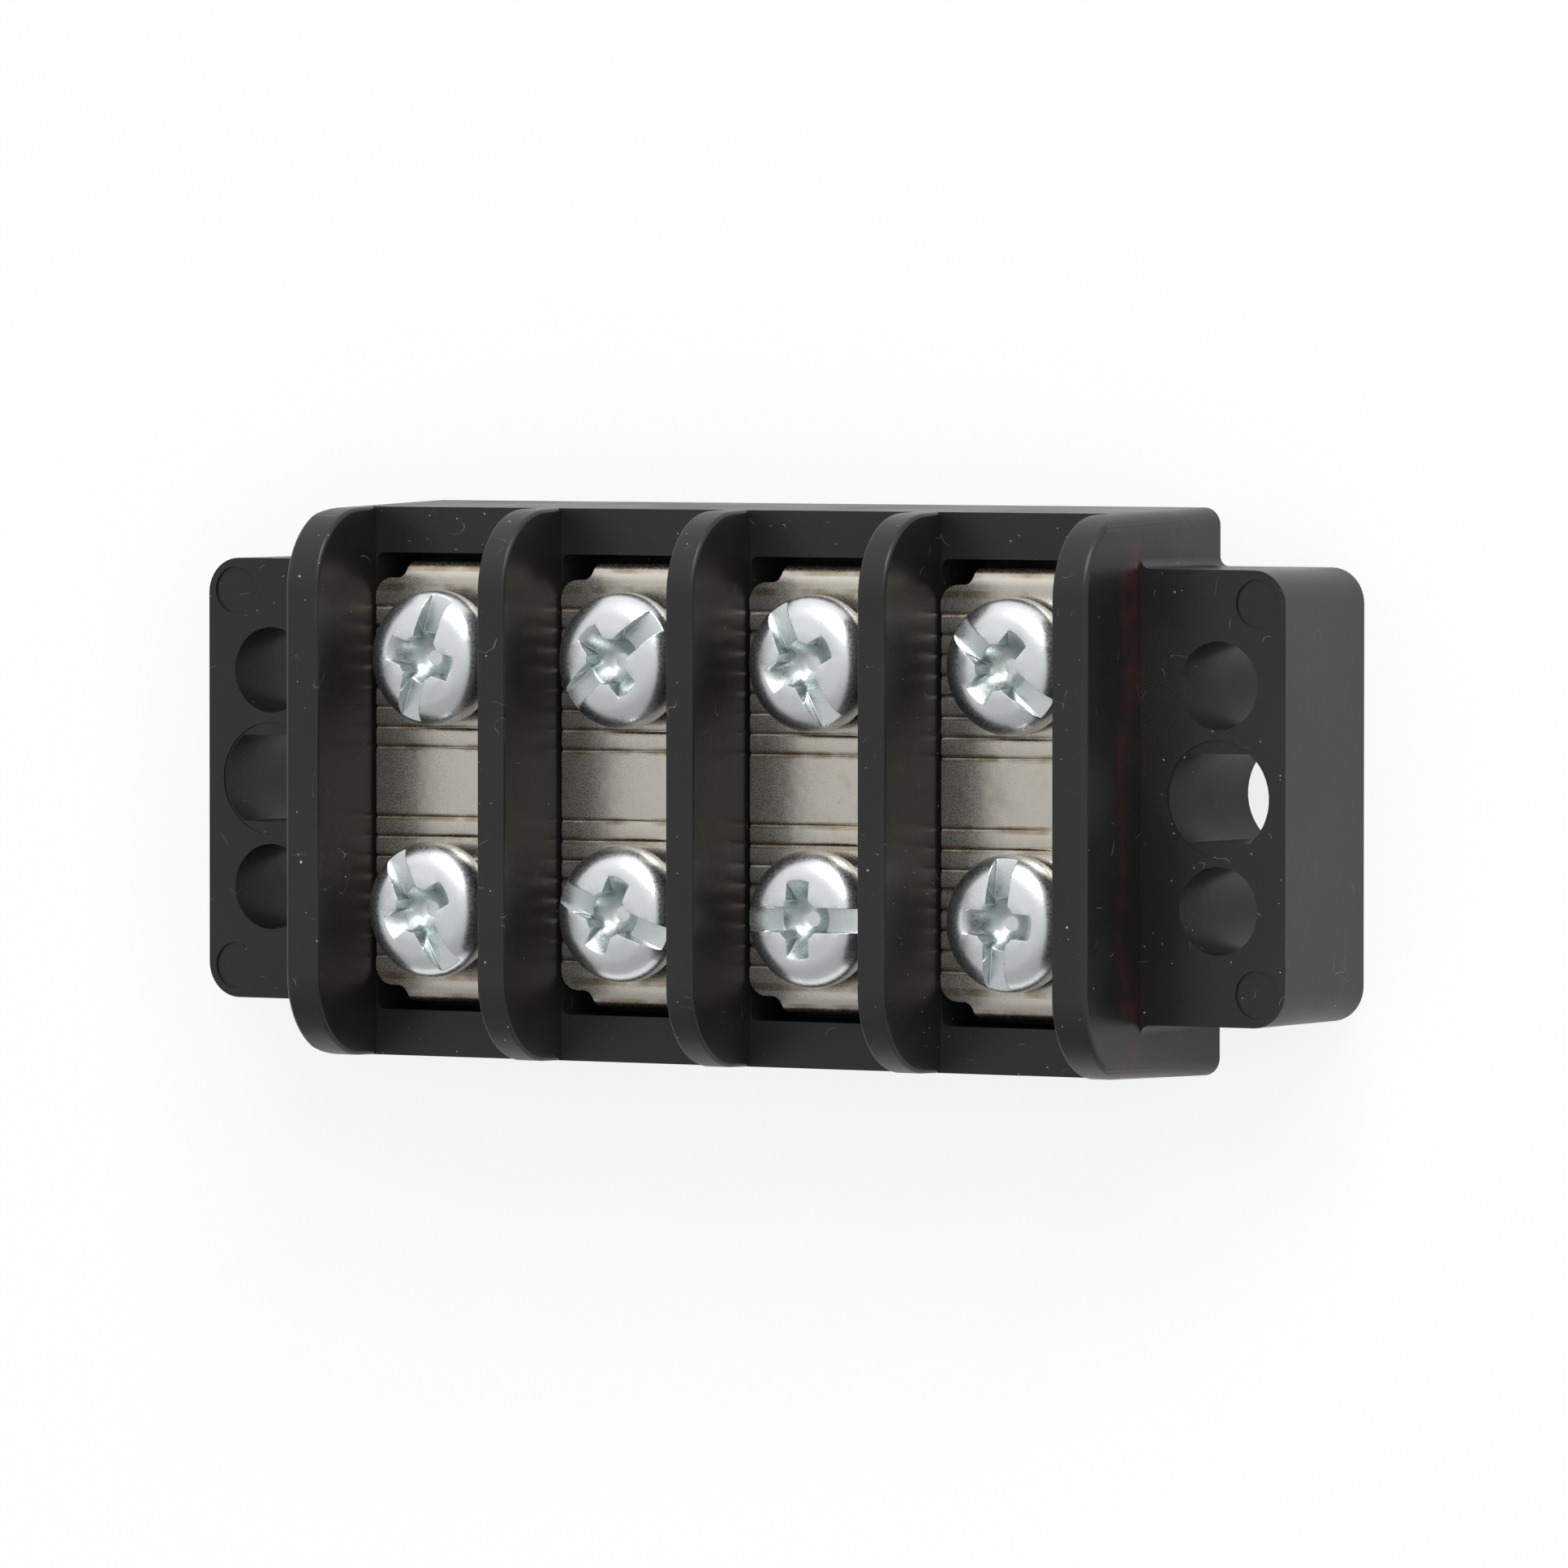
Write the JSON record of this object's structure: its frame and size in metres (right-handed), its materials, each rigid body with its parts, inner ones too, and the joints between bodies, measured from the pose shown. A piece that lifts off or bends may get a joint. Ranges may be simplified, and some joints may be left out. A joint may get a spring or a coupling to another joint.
{
  "type": "barrier terminal strip",
  "caption": "Moulded barrier terminal strip: upright barriers between its poles, a binding-head screw at each end of every terminal strap, and a drilled mounting ear at each end.",
  "frame": {"origin": "centre of the flat mounting face, under the middle of the strip", "axes": "+X along the strip, +Y across it, +Z along the screws, away from the mounting face"},
  "size_m": [0.0632, 0.0286, 0.0138],
  "materials": {
    "housing_plastic": "semi-gloss moulded",
    "strap_tin": "satin tin plating",
    "screw_zinc": "bright zinc plating"
  },
  "bodies": {
    "base": {"housing": "housing_plastic", "strap_1": "strap_tin", "strap_2": "strap_tin", "strap_3": "strap_tin", "strap_4": "strap_tin"},
    "screw_upper_1": {"screw_upper_1": "screw_zinc"},
    "screw_upper_2": {"screw_upper_2": "screw_zinc"},
    "screw_upper_3": {"screw_upper_3": "screw_zinc"},
    "screw_upper_4": {"screw_upper_4": "screw_zinc"},
    "screw_lower_1": {"screw_lower_1": "screw_zinc"},
    "screw_lower_2": {"screw_lower_2": "screw_zinc"},
    "screw_lower_3": {"screw_lower_3": "screw_zinc"},
    "screw_lower_4": {"screw_lower_4": "screw_zinc"}
  },
  "joints": [
    {"name": "screw_upper_1_travel", "type": "slide", "parent": "base", "child": "screw_upper_1", "axis": [0, 0, 1], "range_m": [-0.00105, 0.00305]},
    {"name": "screw_upper_2_travel", "type": "slide", "parent": "base", "child": "screw_upper_2", "axis": [0, 0, 1], "range_m": [-0.001, 0.0031]},
    {"name": "screw_upper_3_travel", "type": "slide", "parent": "base", "child": "screw_upper_3", "axis": [0, 0, 1], "range_m": [-0.0009, 0.0032]},
    {"name": "screw_upper_4_travel", "type": "slide", "parent": "base", "child": "screw_upper_4", "axis": [0, 0, 1], "range_m": [-0.00035, 0.00375]},
    {"name": "screw_lower_1_travel", "type": "slide", "parent": "base", "child": "screw_lower_1", "axis": [0, 0, 1], "range_m": [-0.00135, 0.00275]},
    {"name": "screw_lower_2_travel", "type": "slide", "parent": "base", "child": "screw_lower_2", "axis": [0, 0, 1], "range_m": [-0.001, 0.0031]},
    {"name": "screw_lower_3_travel", "type": "slide", "parent": "base", "child": "screw_lower_3", "axis": [0, 0, 1], "range_m": [-0.0009, 0.0032]},
    {"name": "screw_lower_4_travel", "type": "slide", "parent": "base", "child": "screw_lower_4", "axis": [0, 0, 1], "range_m": [-0.00035, 0.00375]}
  ]
}
